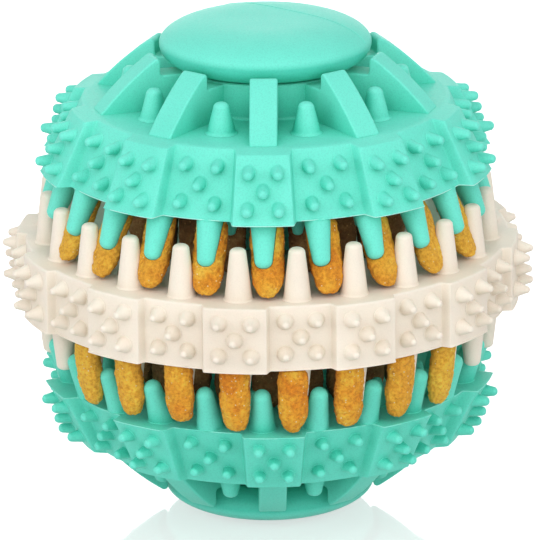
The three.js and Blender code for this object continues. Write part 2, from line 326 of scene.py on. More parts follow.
def slant(lean, radius, height, angle):
    """Carries an upright piece round the axis as place does, but slants it by a shear, so its ends stay level."""
    across, along = math.sin(math.radians(lean)), math.cos(math.radians(lean))
    shear = Matrix(((1, 0, 0, 0), (0, 1 / along, -across, 0), (0, 0, along, 0), (0, 0, 0, 1)))
    return place(0, radius, height, angle) @ shear


def smoothstep(value):
    value = min(1.0, max(0.0, value))
    return value * value * (3 - 2 * value)


def panel_columns(pairs, raised_half, wall, raised_centre, outline_at):
    """Columns of a ring whose panels alternate: raised ones, steep side walls, and recessed ones between.
    outline_at gives the closed outline for a share from 0 (recessed) to 1 (raised)."""
    pair = 360 / pairs
    inner, outer = raised_half - wall / 2, raised_half + wall / 2
    angles = [(-inner + 2 * inner * i / RAISED_COLUMNS, 1.0) for i in range(RAISED_COLUMNS)]
    for i in range(WALL_COLUMNS):
        angles.append((inner + (outer - inner) * i / WALL_COLUMNS, 1 - smoothstep(i / WALL_COLUMNS)))
    for i in range(RECESS_COLUMNS):
        angles.append((outer + (pair - 2 * outer) * i / RECESS_COLUMNS, 0.0))
    for i in range(WALL_COLUMNS):
        angles.append((pair - outer + (outer - inner) * i / WALL_COLUMNS, smoothstep(i / WALL_COLUMNS)))
    columns = []
    for n in range(pairs):
        for angle, share in angles:
            columns.append((raised_centre + n * pair + angle, outline_at(share)))
    return columns


def panel_studs(shape, size, foot, head, centre, half_arc, slope=0.0):
    """Five studs on a panel, one near each corner and one in the middle."""
    spots = [(0, 0.5)] + [(side * STUD_SPREAD, row) for side in (-1, 1) for row in STUD_ROWS]
    for side, row in spots:
        radius = foot[0] + (head[0] - foot[0]) * row
        height = foot[1] + (head[1] - foot[1]) * row
        shape.add(spike(size, slope), place(90, radius, height, centre + side * half_arc))


def cut_with(obj, shape, operation, solver="MANIFOLD"):
    """Joins a shape to an object, or cuts it out of it, as one closed skin.
    The shape's faces take the second material slot, which later shows where the two skins meet."""
    tool = shape.to_object(obj.name + "_tool")
    for mesh in (obj.data, tool.data):
        while len(mesh.materials) < 2:
            mesh.materials.append(None)
    for face in tool.data.polygons:
        face.material_index = 1
    change = obj.modifiers.new("change", "BOOLEAN")
    change.operation = operation
    change.solver = solver
    change.object = tool
    depsgraph = bpy.context.evaluated_depsgraph_get()
    mesh = bpy.data.meshes.new_from_object(obj.evaluated_get(depsgraph))
    obj.modifiers.clear()
    old = obj.data
    obj.data = mesh
    bpy.data.meshes.remove(old)
    spare = tool.data
    bpy.data.objects.remove(tool)
    bpy.data.meshes.remove(spare)


def joined(name, body, extra):
    """A body and the teeth, studs and fins on it, as one skin."""
    base = body.to_object(name)
    cut_with(base, extra, "UNION")
    return base


def clear_slivers(work):
    """Takes out the tiny edges that joining leaves, and faces that then lie back to back."""
    bmesh.ops.dissolve_degenerate(work, dist=SLIVER, edges=work.edges)
    bmesh.ops.triangulate(work, faces=work.faces)
    twins = {}
    for face in work.faces:
        twins.setdefault(frozenset(face.verts), []).append(face)
    doubled = [face for faces in twins.values() if len(faces) > 1 for face in faces]
    bmesh.ops.delete(work, geom=doubled, context="FACES")


def finish_piece(obj, matrix):
    """Moves a piece into the frame and shades it smooth, apart from crisp edges and joined skins' seams."""
    mesh = obj.data
    mesh.transform(INTO_FRAME @ matrix)
    work = bmesh.new()
    work.from_mesh(mesh)
    clear_slivers(work)
    bmesh.ops.recalc_face_normals(work, faces=work.faces)
    for edge in work.edges:
        one_skin = len({face.material_index for face in edge.link_faces}) == 1
        edge.smooth = one_skin and edge.calc_face_angle(0) < SHARP_ANGLE
    for face in work.faces:
        face.smooth = True
        face.material_index = 0
    work.to_mesh(mesh)
    work.free()
    weigh = obj.modifiers.new("even_shading", "WEIGHTED_NORMAL")
    weigh.keep_sharp = True


# Rings

def outer_ring_outline(share):
    """Section of the upper ring: bore, core, toothed face, flash, panel, floor and hub."""
    foot = RECESS_FOOT + (RAISED_FOOT - RECESS_FOOT) * share
    head = RECESS_HEAD + RECESS_SHOULDER + (RAISED_HEAD - RECESS_HEAD - RECESS_SHOULDER) * share
    head_height = RING_FLOOR - RECESS_DROP - (RAISED_DROP - RECESS_DROP) * share
    run, rise = head - foot, head_height - RING_FACE
    face = [(foot + run * i / FACE_ROWS, RING_FACE + rise * i / FACE_ROWS, 0) for i in range(1, FACE_ROWS)]
    return rounded(
        [
            (BORE, MIDDLE_FACE + FIT_GAP, 0.3),
            (CORE, MIDDLE_FACE + FIT_GAP, 0.5),
            (CORE, RING_FACE, 0.8),
            (foot - 4, RING_FACE, 0),
            (foot + LIP, RING_FACE, LIP / 2),
            (foot + LIP, RING_FACE + LIP, LIP / 2),
            (foot - 0.02, RING_FACE + 2 * LIP, 0.05),
            *face,
            (head, head_height, 0.25),
            (RECESS_HEAD - 0.3, RING_FLOOR, 0.1),
            (HUB + 6, RING_FLOOR, 0),
            (HUB, RING_FLOOR, 0.5),
            (HUB, HUB_TOP, 0.4),
            (BORE, HUB_TOP, 0.3),
        ]
    )


def fin(angle):
    """A fin with rounded edges, high at the cap's rim, whose back arches down to the edge of the floor."""
    foot = Vector((FIN_OUTER, RING_FLOOR + FIN_FOOT_RISE))
    chord = Vector((FIN_INNER, FIN_TOP)) - foot
    up = Vector((chord.y, -chord.x)).normalized()
    back = []
    for step in range(1, FIN_BACK_STEPS - 1):
        share = step / FIN_BACK_STEPS
        spot = foot + chord * share + up * (4 * FIN_BULGE * share * (1 - share))
        back.append((spot.x, spot.y, 0))
    outline = rounded(
        [
            (HUB - FIN_SINK, RING_FLOOR - FIN_SINK, 0),
            (FIN_OUTER, RING_FLOOR - FIN_SINK, 0),
            (FIN_OUTER, RING_FLOOR + FIN_FOOT_RISE, 0),
            *back,
            (FIN_INNER, FIN_TOP, 0.6),
            (FIN_INNER, FIN_SHOULDER, 0.4),
            (HUB - FIN_SINK, FIN_SHOULDER, 0),
        ]
    )
    work = bmesh.new()
    near = [work.verts.new((-FIN_WIDTH / 2, -r, z)) for r, z in outline]
    far = [work.verts.new((FIN_WIDTH / 2, -r, z)) for r, z in outline]
    count = len(outline)
    work.faces.new(near)
    work.faces.new(list(reversed(far)))
    for i in range(count):
        j = (i + 1) % count
        work.faces.new((near[j], near[i], far[i], far[j]))
    bmesh.ops.recalc_face_normals(work, faces=work.faces)
    rims = [edge for edge in work.edges if abs(edge.verts[0].co.x - edge.verts[1].co.x) < FIN_WIDTH / 2]
    bmesh.ops.bevel(work, geom=rims, offset=FIN_EDGE, segments=3, profile=0.5, affect="EDGES")
    work.transform(about_axis(angle))
    work.verts.index_update()
    verts = [tuple(v.co) for v in work.verts]
    faces = [tuple(v.index for v in f.verts) for f in work.faces]
    work.free()
    return verts, faces


def ring_tooth_place(angle):
    return place(180 - RING_TOOTH_LEAN, RING_TOOTH_CIRCLE, RING_FACE, angle)


def make_outer_ring(name):
    body = Shape()
    body.add(ring_of(panel_columns(RING_PAIRS, RAISED_HALF, RING_WALL, 0, outer_ring_outline)))
    extra = Shape()
    pair = 360 / RING_PAIRS
    raised_foot, raised_head = (RAISED_FOOT, RING_FACE), (RAISED_HEAD, RING_FLOOR - RAISED_DROP)
    recess_foot, recess_head = (RECESS_FOOT, RING_FACE), (RECESS_HEAD + RECESS_SHOULDER, RING_FLOOR - RECESS_DROP)
    recess_half = pair / 2 - RAISED_HALF
    raised_slope = -(RAISED_FOOT - RAISED_HEAD) / (RING_FLOOR - RAISED_DROP - RING_FACE)
    recess_slope = -(RECESS_FOOT - RECESS_HEAD - RECESS_SHOULDER) / (RING_FLOOR - RECESS_DROP - RING_FACE)
    for n in range(RING_PAIRS):
        raised, recess = n * pair, (n + 0.5) * pair
        panel_studs(extra, RING_STUD, raised_foot, raised_head, raised, RAISED_HALF, raised_slope)
        panel_studs(extra, RING_STUD, recess_foot, recess_head, recess, recess_half, recess_slope)
        extra.add(fin(raised))
        extra.add(spike(PEG, segments=TOOTH_SEGMENTS), place(0, PEG_CIRCLE, RING_FLOOR, recess))
    tooth = spike(RING_TOOTH, RING_TOOTH_SLOPE, TOOTH_SEGMENTS, RING_TOOTH_SINK)
    for n in range(TOOTH_COUNT):
        extra.add(tooth, ring_tooth_place(n * TOOTH_PITCH))
    for n in range(INNER_TOOTH_COUNT):
        angle = (n + 0.5) * 360 / INNER_TOOTH_COUNT
        extra.add(spike(INNER_TOOTH), place(180, INNER_TOOTH_CIRCLE, RING_FACE, angle))
    return joined(name, body, extra)


def middle_ring_outline(share):
    """Section of the middle ring: bore, lower face, hanging edge, band and upper face."""
    band = MIDDLE_BAND - MIDDLE_STEP + MIDDLE_STEP * share
    rows = [(band, -MIDDLE_FACE + 2 * MIDDLE_FACE * i / BAND_ROWS, 0) for i in range(1, BAND_ROWS)]
    return rounded(
        [
            (BORE, -MIDDLE_FACE, 0.3),
            (MIDDLE_BAND - MIDDLE_STEP - 0.9, -MIDDLE_FACE, 0),
            (MIDDLE_BAND - MIDDLE_STEP - 0.4, -MIDDLE_FACE - BAND_LIP, 0.1),
            (band + LIP, -MIDDLE_FACE - BAND_LIP, LIP / 2),
            (band + LIP, -MIDDLE_FACE - BAND_LIP + LIP, LIP / 2),
            (band, -MIDDLE_FACE - BAND_LIP + 2 * LIP, 0.05),
            *rows,
            (band, MIDDLE_FACE, 0.35),
            (TOOTH_CIRCLE - 8, MIDDLE_FACE, 0),
            (BORE, MIDDLE_FACE, 0.3),
        ]
    )


def make_middle_ring(name):
    half = 90 / MIDDLE_PAIRS
    body = Shape()
    body.add(ring_of(panel_columns(MIDDLE_PAIRS, half, MIDDLE_WALL, -half, middle_ring_outline)))
    extra = Shape()
    for n in range(MIDDLE_PAIRS):
        raised = n * 4 * half - half
        for centre, band in ((raised, MIDDLE_BAND), (raised + 2 * half, MIDDLE_BAND - MIDDLE_STEP)):
            panel_studs(extra, MIDDLE_STUD, (band, -MIDDLE_FACE), (band, MIDDLE_FACE), centre, half)
    tooth = spike(MIDDLE_TOOTH, segments=TOOTH_SEGMENTS)
    for n in range(TOOTH_COUNT):
        angle = (n + 0.5) * TOOTH_PITCH
        extra.add(tooth, place(0, TOOTH_CIRCLE, MIDDLE_FACE, angle))
        extra.add(tooth, place(180, TOOTH_CIRCLE, -MIDDLE_FACE, angle))
    return joined(name, body, extra)


# Caps

def cap_outline():
    """The lens from its seat, round the rim, to the middle of its crown."""
    points = []
    for step in range(RIM_STEPS + 1):
        turn = math.pi / 2 * (1 - step / RIM_STEPS)
        reach = CAP_SEAT_RADIUS + (CAP_RADIUS - CAP_SEAT_RADIUS) * math.cos(turn)
        points.append((reach, CAP_RIM - (CAP_RIM - CAP_SEAT) * math.sin(turn)))
    for step in range(1, CROWN_STEPS + 1):
        turn = math.pi / 2 * step / CROWN_STEPS
        reach = CAP_FLAT + (CAP_RADIUS - CAP_FLAT) * math.cos(turn)
        points.append((reach, CAP_RIM + (CAP_CROWN - CAP_RIM) * math.sin(turn)))
    return points


def cap_height(radius):
    """Height of the crown's skin at a radius inside the rim."""
    if radius <= CAP_FLAT:
        return CAP_CROWN
    share = min((radius - CAP_FLAT) / (CAP_RADIUS - CAP_FLAT), 1.0)
    return CAP_RIM + (CAP_CROWN - CAP_RIM) * math.sqrt(1 - share * share)


def parting_line():
    """A fine ridge of moulding flash along a chord of the crown, laid half into the skin."""
    half = math.sqrt(CAP_RADIUS ** 2 - SEAM_OFFSET ** 2)
    along = Vector((math.sin(math.radians(SEAM_ANGLE)), -math.cos(math.radians(SEAM_ANGLE))))
    aside = Vector((-along.y, along.x))
    verts = []
    for step in range(SEAM_STEPS + 1):
        reach = -half * math.cos(math.pi * step / SEAM_STEPS) * SEAM_REACH
        spot = along * reach + aside * SEAM_OFFSET
        height = cap_height(spot.length)
        for side in range(SEAM_SIDES):
            turn = 2 * math.pi * side / SEAM_SIDES
            flat = spot + aside * SEAM_RADIUS * math.cos(turn)
            verts.append((flat.x, flat.y, height + SEAM_RADIUS * (math.sin(turn) - SEAM_SINK)))
    last = SEAM_STEPS * SEAM_SIDES
    faces = [tuple(range(SEAM_SIDES)), tuple(last + side for side in reversed(range(SEAM_SIDES)))]
    for step in range(SEAM_STEPS):
        a = step * SEAM_SIDES
        b = a + SEAM_SIDES
        for side in range(SEAM_SIDES):
            after = (side + 1) % SEAM_SIDES
            faces.append((a + after, a + side, b + side, b + after))
    shape = Shape()
    shape.add((verts, faces))
    return shape


def make_upper_cap(name):
    pin_end = CAP_SEAT - PIN_LENGTH
    shape = Shape()
    stem = rounded(
        [(0, pin_end, 0), (PIN, pin_end, 1.2), (PIN, CAP_SEAT, 0.3), (CAP_SEAT_RADIUS, CAP_SEAT, 0)], closed=False
    )
    shape.add(turned(stem[:-1] + cap_outline() + [(0, CAP_CROWN)], CAP_SEGMENTS))
    cap = shape.to_object(name)
    cut_with(cap, parting_line(), "UNION", "EXACT")
    return cap


def make_lower_cap(name):
    """Made dome up, as the upper cap is, and turned over."""
    end = -(CAP_SEAT - FIT_GAP)
    shape = Shape()
    stem = rounded(
        [
            (0, CAP_SEAT, 0),
            (SLEEVE_BORE, CAP_SEAT, 0.5),
            (SLEEVE_BORE, end, 0.6),
            (SLEEVE, end, 0.6),
            (SLEEVE, CAP_SEAT, 0.3),
            (CAP_SEAT_RADIUS, CAP_SEAT, 0),
        ],
        closed=False,
    )
    shape.add(turned(stem[:-1] + cap_outline() + [(0, CAP_CROWN)], CAP_SEGMENTS))
    return shape.to_object(name)


# Treats

def treat_outline(rows):
    """Half outline of a stick of half width 1 and half length 1, in even steps from foot to head."""
    fine = []
    for step in range(TREAT_OUTLINE_STEPS + 1):
        turn = math.pi * step / TREAT_OUTLINE_STEPS
        side, power = (-1, TREAT_FOOT) if turn < math.pi / 2 else (1, TREAT_HEAD)
        reach = max(math.sin(turn), 0) ** power
        fine.append(Vector((reach, side * abs(math.cos(turn)) ** power)))
    lengths = [0.0]
    for a, b in zip(fine, fine[1:]):
        step = math.hypot((b.x - a.x) * TREAT_WIDTH, (b.y - a.y) * TREAT_USUAL_LENGTH)
        lengths.append(lengths[-1] + step)
    points = []
    spot = 0
    for row in range(rows + 1):
        goal = lengths[-1] * row / rows
        while spot < len(lengths) - 2 and lengths[spot + 1] < goal:
            spot += 1
        share = (goal - lengths[spot]) / (lengths[spot + 1] - lengths[spot])
        points.append(fine[spot].lerp(fine[spot + 1], share))
    return points


def treat(seed, length, width, around, rows):
    """A baked stick with blunt ends, a flattened section and a lumpy, crumbly skin."""
    shift = Vector([step * seed for step in SEED_STEPS])
    outline = treat_outline(rows)
    verts = []
    for reach, along in outline:
        ring = around if 0 < len(verts) and along < outline[-1].y else 1
        for side in range(ring):
            angle = 2 * math.pi * side / around
            flat = Vector((math.cos(angle), math.sin(angle), 0))
            point = Vector((reach * width / 2 * flat.x, reach * TREAT_DEPTH / 2 * flat.y, along * length / 2))
            if ring == 1:
                point.x = point.y = 0
            skin = sum(noise.noise(point * scale + shift) * height for scale, height in TREAT_SKIN)
            outward = Vector((flat.x * reach, flat.y * reach, along ** 5))
            verts.append(point + outward.normalized() * (skin - TREAT_SHRINK))
    faces = []
    top = len(verts) - 1
    last = top - around
    for side in range(around):
        after = (side + 1) % around
        faces.append((0, 1 + after, 1 + side))
        faces.append((top, last + side, last + after))
        for row in range(rows - 2):
            a = 1 + row * around
            b = a + around
            faces.append((a + side, a + after, b + after))
            faces.append((a + side, b + after, b + side))
    return verts, faces


def make_treat(name, seed, length, matrix, dent=None, width=TREAT_WIDTH, mesh=FRONT_TREAT_MESH):
    """A treat in its place, with the dents of the teeth that press into it."""
    shape = Shape()
    shape.add(treat(seed, length, width, *mesh), matrix)
    obj = shape.to_object(name)
    if dent:
        cut_with(obj, dent, "DIFFERENCE")
    return obj


def grown(size):
    """A tooth's sizes with the room that its dent in a treat has round it."""
    wider = dict(size)
    for key in ("length", "root", "tip", "tip_round"):
        wider[key] += DENT_GAP
    return wider


# Materials: lengths in metres, noise and speck scales in steps to a metre
BLACK, FULL = (0, 0, 0), (1, 1, 1)
HOLLOW_SHADE_REACH = 0.006  # how far round a spot the moulding counts as hollow, for painted shade
HOLLOW_SHADE_SAMPLES = 8
FLASH_HEIGHT = (RING_FACE + LIP / 2) * MM
FLASH_HALF = 0.00009  # half the width of the pale painted highlight line
ROW_HALF_WIDTH = 0.03  # from the middle of a row of treats to its ends
NOISE_LOW, NOISE_HIGH = 0.3, 0.7  # the span that a noise mostly keeps to


def grey(value):
    return value, value, value


def new_material(name):
    material = bpy.data.materials.new(name)
    material.use_nodes = True
    tree = material.node_tree
    return material, tree.nodes, tree.links, tree.nodes["Principled BSDF"]


def set_inputs(node, values):
    for socket, value in values.items():
        node.inputs[socket].default_value = value


def add_noise(nodes, links, scale, detail=3.0, roughness=0.5):
    where = nodes.new("ShaderNodeTexCoord")
    texture = nodes.new("ShaderNodeTexNoise")
    set_inputs(texture, {"Scale": scale, "Detail": detail, "Roughness": roughness})
    links.new(where.outputs["Object"], texture.inputs["Vector"])
    return texture.outputs["Fac"]


def add_ramp(nodes, links, source, stops):
    ramp = nodes.new("ShaderNodeValToRGB")
    elements = ramp.color_ramp.elements
    while len(elements) < len(stops):
        elements.new(0.5)
    for element, (position, colour) in zip(elements, stops):
        element.position = position
        element.color = (*colour, 1)
    links.new(source, ramp.inputs["Fac"])
    return ramp.outputs["Color"]


def add_range(nodes, links, source, low, high):
    """A noise spread over a span."""
    remap = nodes.new("ShaderNodeMapRange")
    set_inputs(remap, {"From Min": NOISE_LOW, "From Max": NOISE_HIGH, "To Min": low, "To Max": high})
    links.new(source, remap.inputs["Value"])
    return remap.outputs["Result"]


def add_bump(nodes, links, shader, source, strength, distance):
    bump = nodes.new("ShaderNodeBump")
    set_inputs(bump, {"Strength": strength, "Distance": distance})
    links.new(source, bump.inputs["Height"])
    links.new(bump.outputs["Normal"], shader.inputs["Normal"])


def srgb(red, green, blue):
    """A colour as seen, 0 to 255, as the linear values that shaders take."""
    def linear(value):
        value /= 255
        return value / 12.92 if value <= 0.04045 else ((value + 0.055) / 1.055) ** 2.4
    return linear(red), linear(green), linear(blue)


def add_math(nodes, links, operation, *values):
    """A math node whose inputs are sockets or plain numbers."""
    node = nodes.new("ShaderNodeMath")
    node.operation = operation
    for socket, value in zip(node.inputs, values):
        if isinstance(value, (int, float)):
            socket.default_value = value
        else:
            links.new(value, socket)
    return node.outputs["Value"]


def add_mix(nodes, links, blend, factor, first, second):
    """A colour mix whose inputs are sockets, plain numbers or colours."""
    node = nodes.new("ShaderNodeMix")
    node.data_type = "RGBA"
    node.blend_type = blend
    for socket, value in ((node.inputs[0], factor), (node.inputs[6], first), (node.inputs[7], second)):
        if isinstance(value, (int, float)):
            socket.default_value = value
        elif isinstance(value, tuple):
            socket.default_value = (*value, 1)
        else:
            links.new(value, socket)
    return node.outputs[2]


def add_split(nodes, links, vector):
    """A vector's X, Y and Z."""
    split = nodes.new("ShaderNodeSeparateXYZ")
    links.new(vector, split.inputs["Vector"])
    return split.outputs


def flash_highlight_share(nodes, links):
    """How much of the pale painted highlight along an outer ring's toothed edge, on its moulding flash, shows at a
    spot: a thin line with breaks.
    """
    where = nodes.new("ShaderNodeTexCoord")
    spot = add_split(nodes, links, where.outputs["Object"])
    height = add_math(nodes, links, "ABSOLUTE", add_math(nodes, links, "SUBTRACT", spot["Z"], MIDDLE))
    line = add_math(nodes, links, "COMPARE", height, FLASH_HEIGHT, FLASH_HALF)
    facing = add_split(nodes, links, where.outputs["Normal"])
    flat = add_math(nodes, links, "ABSOLUTE", facing["Z"])
    upright = add_math(nodes, links, "LESS_THAN", flat, 0.75)
    breaks = add_noise(nodes, links, scale=240, detail=3)
    whole = add_math(nodes, links, "GREATER_THAN", breaks, 0.43)
    return add_math(nodes, links, "MULTIPLY", add_math(nodes, links, "MULTIPLY", line, upright), whole)


def under_rim_shade(nodes, links):
    """How much painted shade a cap's skin takes as it turns towards the middle ring: 0 on the crown, most under
    the rim.
    """
    surface = nodes.new("ShaderNodeNewGeometry")
    spot = add_split(nodes, links, surface.outputs["Position"])
    facing = add_split(nodes, links, surface.outputs["Normal"])
    side = add_math(nodes, links, "SIGN", add_math(nodes, links, "SUBTRACT", spot["Z"], MIDDLE))
    outward = add_math(nodes, links, "MULTIPLY", side, facing["Z"])
    return add_ramp(nodes, links, outward, [(0.0, grey(0.8)), (0.6, BLACK)])


def rubber(name, pit_shade, hollow_shade, deep, plain, pale, speck, flash=None, shaded_under_rim=False):
    """Moulded rubber: faint clouding, fine grain, and painted shade, a deeper colour, in the moulding's hollows.
    """
    material, nodes, links, shader = new_material(name)
    cloud = add_noise(nodes, links, scale=60, detail=4)
    colour = add_ramp(nodes, links, cloud, [(0.3, deep), (0.5, plain), (0.72, pale)])
    # painted shade: a deeper colour where ambient occlusion finds the moulding hollow
    openness = nodes.new("ShaderNodeAmbientOcclusion")
    openness.samples = HOLLOW_SHADE_SAMPLES
    openness.only_local = True
    openness.inputs["Distance"].default_value = HOLLOW_SHADE_REACH
    share = add_ramp(nodes, links, openness.outputs["AO"], [(0.25, grey(0.9)), (0.85, BLACK)])
    shade = add_ramp(nodes, links, openness.outputs["AO"], [(0.15, pit_shade), (0.5, hollow_shade)])
    colour = add_mix(nodes, links, "MIX", share, colour, shade)
    # painted shade under a cap's rim
    if shaded_under_rim:
        colour = add_mix(nodes, links, "MIX", under_rim_shade(nodes, links), colour, hollow_shade)
    # a painted highlight: a pale line along the moulding flash
    if flash:
        colour = add_mix(nodes, links, "MIX", flash_highlight_share(nodes, links), colour, flash)
    grain = add_noise(nodes, links, scale=2600, detail=2)
    fine = add_noise(nodes, links, scale=4500, detail=1)
    speckle = add_ramp(nodes, links, fine, [(0.3, grey(speck)), (0.55, FULL)])
    links.new(add_mix(nodes, links, "MULTIPLY", 1.0, colour, speckle), shader.inputs["Base Color"])
    links.new(add_range(nodes, links, grain, low=0.42, high=0.58), shader.inputs["Roughness"])
    add_bump(nodes, links, shader, grain, strength=0.45, distance=0.00006)
    set_inputs(
        shader,
        {
            "Specular IOR Level": 0.27,
            "Subsurface Weight": 0.12,
            "Subsurface Radius": (0.6, 1.0, 0.9),
            "Subsurface Scale": 0.0015,
        },
    )
    return material


def facing_out(nodes, links):
    """1 where a surface faces straight away from the ball's axis, 0 where it faces along or across it."""
    spot = nodes.new("ShaderNodeNewGeometry")
    level = nodes.new("ShaderNodeVectorMath")
    level.operation = "MULTIPLY"
    level.inputs[1].default_value = (1, 1, 0)
    links.new(spot.outputs["Position"], level.inputs[0])
    outward = nodes.new("ShaderNodeVectorMath")
    outward.operation = "NORMALIZE"
    links.new(level.outputs["Vector"], outward.inputs[0])
    agreement = nodes.new("ShaderNodeVectorMath")
    agreement.operation = "DOT_PRODUCT"
    links.new(spot.outputs["Normal"], agreement.inputs[0])
    links.new(outward.outputs["Vector"], agreement.inputs[1])
    return agreement.outputs["Value"]


def crumb(name, rim, baked, plain, pale, speck):
    """Baked crumb: painted shade on the sides, broad patches of bake, paler treats at the ends of a row as painted
    light, fine grain, and sparse pale specks."""
    material, nodes, links, shader = new_material(name)
    bake = add_noise(nodes, links, scale=260, detail=3, roughness=0.6)
    patches = add_ramp(nodes, links, bake, [(0.36, baked), (0.55, plain), (0.7, pale)])
    # painted shade: a darker colour on the sides that face across or along the axis
    sides = add_ramp(nodes, links, facing_out(nodes, links), [(0.1, FULL), (0.75, BLACK)])
    sides_shaded = add_mix(nodes, links, "MIX", sides, patches, rim)
    # painted light: the treats towards the ends of a row are paler
    where = nodes.new("ShaderNodeTexCoord")
    spot = add_split(nodes, links, where.outputs["Object"])
    aside = add_math(nodes, links, "DIVIDE", add_math(nodes, links, "ABSOLUTE", spot["X"]), ROW_HALF_WIDTH)
    ends = add_ramp(nodes, links, aside, [(0.35, BLACK), (0.9, grey(0.7))])
    row_ends_lit = add_mix(nodes, links, "MIX", ends, sides_shaded, pale)
    grain = add_noise(nodes, links, scale=1900, detail=5, roughness=0.7)
    grain_tone = add_ramp(nodes, links, grain, [(0.36, (0.82, 0.68, 0.5)), (0.5, FULL), (0.64, (1.2, 1.3, 1.6))])
    toned = add_mix(nodes, links, "MULTIPLY", 1.0, row_ends_lit, grain_tone)
    speck_cells = nodes.new("ShaderNodeTexVoronoi")
    speck_cells.inputs["Scale"].default_value = 1500
    links.new(where.outputs["Object"], speck_cells.inputs["Vector"])
    grains = add_ramp(nodes, links, speck_cells.outputs["Distance"], [(0.12, FULL), (0.2, BLACK)])
    apart = nodes.new("ShaderNodeSeparateColor")
    links.new(speck_cells.outputs["Color"], apart.inputs["Color"])
    chosen = add_math(nodes, links, "GREATER_THAN", apart.outputs["Red"], 0.55)
    share = add_math(nodes, links, "MULTIPLY", grains, chosen)
    links.new(add_mix(nodes, links, "MIX", share, toned, speck), shader.inputs["Base Color"])
    links.new(add_range(nodes, links, grain, low=0.5, high=0.8), shader.inputs["Roughness"])
    add_bump(nodes, links, shader, grain, strength=1.0, distance=0.0006)
    shader.inputs["Specular IOR Level"].default_value = 0.35
    return material


# The two darkest teals are painted shade for the moulding's hollows.
TEALS = {
    "pit_shade": srgb(40, 168, 146),
    "hollow_shade": srgb(72, 208, 184),
    "deep": srgb(112, 232, 211),
    "plain": srgb(118, 238, 217),
    "pale": srgb(124, 242, 221),
    "speck": 0.92,
}
# The pale flash colour is a painted highlight.
TEAL = rubber("teal_rubber", **TEALS, flash=srgb(178, 248, 234))
# A darker copy of the teal: painted shade of the middle band over the lower ring, with a dimmer painted highlight
# on the flash.
TEAL_LOWER_SHADED = rubber(
    "teal_rubber_lower_shaded",
    pit_shade=srgb(36, 162, 140),
    hollow_shade=srgb(64, 200, 176),
    deep=srgb(104, 226, 204),
    plain=srgb(110, 232, 210),
    pale=srgb(116, 237, 215),
    speck=0.92,
    flash=srgb(140, 238, 219),
)
# The caps' teal, with painted shade under the rim.
TEAL_CAP = rubber("teal_rubber_cap", **TEALS, shaded_under_rim=True)
# The two darkest colours are painted shade for the moulding's hollows.
WHITE = rubber(
    "white_rubber",
    pit_shade=srgb(186, 172, 150),
    hollow_shade=srgb(220, 208, 188),
    deep=srgb(244, 232, 216),
    plain=srgb(249, 238, 222),
    pale=srgb(251, 241, 226),
    speck=0.97,
)
# The rim colour is painted shade on a treat's sides; the pale colour also serves as painted light towards the ends
# of a row.
UPPER_CRUMB = crumb(
    "front_treat",
    rim=srgb(202, 112, 22),
    baked=srgb(230, 138, 32),
    plain=srgb(246, 170, 46),
    pale=srgb(255, 202, 72),
    speck=srgb(255, 232, 170),
)
# A brighter copy of the treat colours: painted light against the middle band's shadow on the lower row; its rim
# colour is painted shade on the sides.
LOWER_CRUMB_BRIGHTENED = crumb(
    "front_treat_lower_brightened",
    rim=srgb(214, 120, 24),
    baked=srgb(242, 148, 34),
    plain=srgb(255, 184, 54),
    pale=srgb(255, 207, 74),
    speck=srgb(255, 240, 190),
)
# A darker copy of the treat colours: painted shade for the treats deep inside the ball.
INNER_CRUMB_SHADED = crumb(
    "inner_treat",
    rim=srgb(112, 74, 38),
    baked=srgb(124, 84, 46),
    plain=srgb(158, 112, 64),
    pale=srgb(188, 142, 88),
    speck=srgb(214, 176, 118),
)

# Assembly
FLIP = Matrix.Rotation(math.pi, 4, "X")


def dress(obj, node, body, material, matrix=Matrix.Identity(4)):
    """Finishes a piece, which then stands for a node of the part and rides on its body."""
    finish_piece(obj, matrix)
    obj.data.materials.clear()
    obj.data.materials.append(material)
    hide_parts(node)
    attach(obj, body)


upper_ring = make_outer_ring("upper_ring_rubber")
lower_ring = bpy.data.objects.new("lower_ring_rubber", upper_ring.data.copy())
bpy.context.scene.collection.objects.link(lower_ring)
dress(upper_ring, "upper_tooth_ring", "upper_ring", TEAL, about_axis(UPPER_TURN))
dress(lower_ring, "lower_tooth_ring", "lower_ring", TEAL_LOWER_SHADED, FLIP @ about_axis(-LOWER_TURN))
dress(make_middle_ring("middle_ring_rubber"), "middle_tooth_ring", "middle_ring", WHITE)
dress(make_upper_cap("upper_cap_rubber"), "upper_end_cap", "upper_cap", TEAL_CAP)
dress(make_lower_cap("lower_cap_rubber"), "lower_end_cap", "lower_cap", TEAL_CAP, FLIP)


def row_angles(count, pitch, shift=0.0):
    """Angles of a row of treats about the front."""
    return [(n - (count - 1) / 2) * pitch + shift for n in range(count)]


def nearby_teeth(angle, some_tooth):
    """Angles of the tooth nearest to a place, in a row that has a tooth at some angle, and of its neighbours."""
    nearest = some_tooth + round((angle - some_tooth) / TOOTH_PITCH) * TOOTH_PITCH
    return nearest - TOOTH_PITCH, nearest, nearest + TOOTH_PITCH


RING_DENT = spike(grown(RING_TOOTH), RING_TOOTH_SLOPE, TOOTH_SEGMENTS, RING_TOOTH_SINK)
MIDDLE_DENT = spike(grown(MIDDLE_TOOTH), segments=TOOTH_SEGMENTS)


def upper_dents(angle):
    """What the upper and middle rings' teeth press into an upper treat."""
    dents = Shape()
    for tooth in nearby_teeth(angle, UPPER_TURN):
        dents.add(RING_DENT, ring_tooth_place(tooth))
    for tooth in nearby_teeth(angle, TOOTH_PITCH / 2):
        dents.add(MIDDLE_DENT, place(0, TOOTH_CIRCLE, MIDDLE_FACE, tooth))
    return dents


